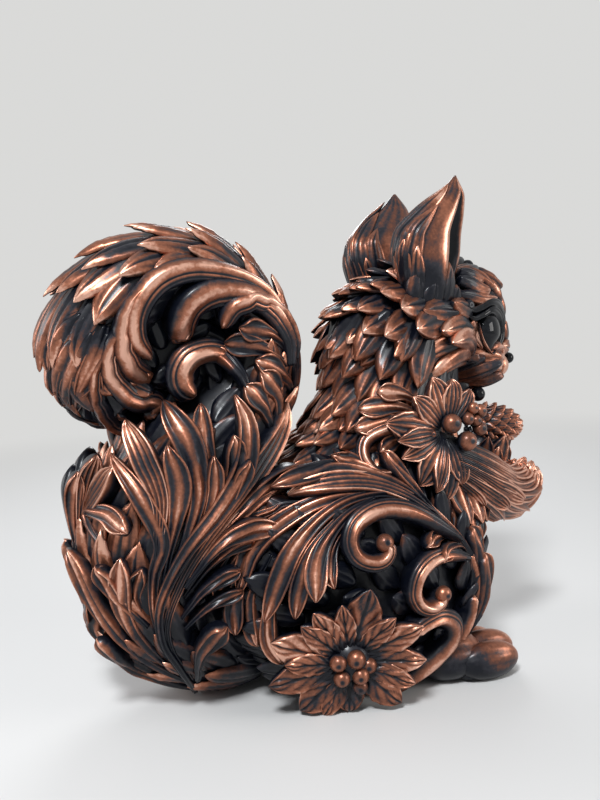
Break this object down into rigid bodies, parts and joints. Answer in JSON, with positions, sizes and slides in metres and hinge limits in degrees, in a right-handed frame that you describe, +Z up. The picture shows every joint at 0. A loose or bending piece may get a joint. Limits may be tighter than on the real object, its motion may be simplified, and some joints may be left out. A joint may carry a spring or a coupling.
{
  "type": "animal figurine",
  "caption": "Sitting squirrel figurine covered in copper-rubbed leaves, scrolls and flowers, holding a cone under its chin.",
  "frame": {"origin": "middle of the flat face that the figurine stands on, under the torso", "axes": "+X the way the squirrel looks, +Y to its left, +Z up"},
  "size_m": [0.1812, 0.119, 0.176],
  "materials": {
    "dark_lacquer": "dark satin lacquer over cast resin",
    "copper_rub": "copper paint rubbed over dark lacquer on cast resin",
    "gloss_black": "high gloss"
  },
  "bodies": {
    "root": {"arm_left": "copper_rub", "arm_right": "copper_rub", "back_leaves": "copper_rub", "body_core": "dark_lacquer", "brow_leaves": "copper_rub", "cheek_leaves_left": "copper_rub", "cheek_leaves_right": "copper_rub", "chest_leaves": "copper_rub", "cone_bead": "dark_lacquer", "cone_core": "copper_rub", "cone_cup": "copper_rub", "cone_scales": "copper_rub", "curl_ribs_left": "copper_rub", "curl_ribs_right": "copper_rub", "curl_volute_left": "copper_rub", "curl_volute_right": "copper_rub", "ear_left": "copper_rub", "ear_right": "copper_rub", "eye_left": "gloss_black", "eye_right": "gloss_black", "eyelid_left": "dark_lacquer", "eyelid_right": "dark_lacquer", "foot_left": "copper_rub", "foot_right": "copper_rub", "front_scroll_left": "copper_rub", "front_scroll_right": "copper_rub", "haunch_berries_left": "copper_rub", "haunch_berries_right": "copper_rub", "haunch_flower_left": "copper_rub", "haunch_flower_right": "copper_rub", "haunch_frond_left": "copper_rub", "haunch_frond_right": "copper_rub", "haunch_scroll_left": "copper_rub", "haunch_scroll_right": "copper_rub", "head_core": "dark_lacquer", "lower_scroll_left": "copper_rub", "lower_scroll_right": "copper_rub", "nose": "gloss_black", "nose_bulb": "copper_rub", "ruff_leaves": "copper_rub", "shoulder_berries_left": "copper_rub", "shoulder_berries_right": "copper_rub", "shoulder_flower_left": "copper_rub", "shoulder_flower_right": "copper_rub", "shoulder_scroll_left": "copper_rub", "shoulder_scroll_right": "copper_rub", "tail_core": "dark_lacquer", "tail_curl_leaves": "copper_rub", "tail_frond_left": "copper_rub", "tail_frond_right": "copper_rub", "tail_rear_frond_left": "copper_rub", "tail_rear_frond_right": "copper_rub", "tail_rear_leaves": "copper_rub"}
  },
  "joints": []
}
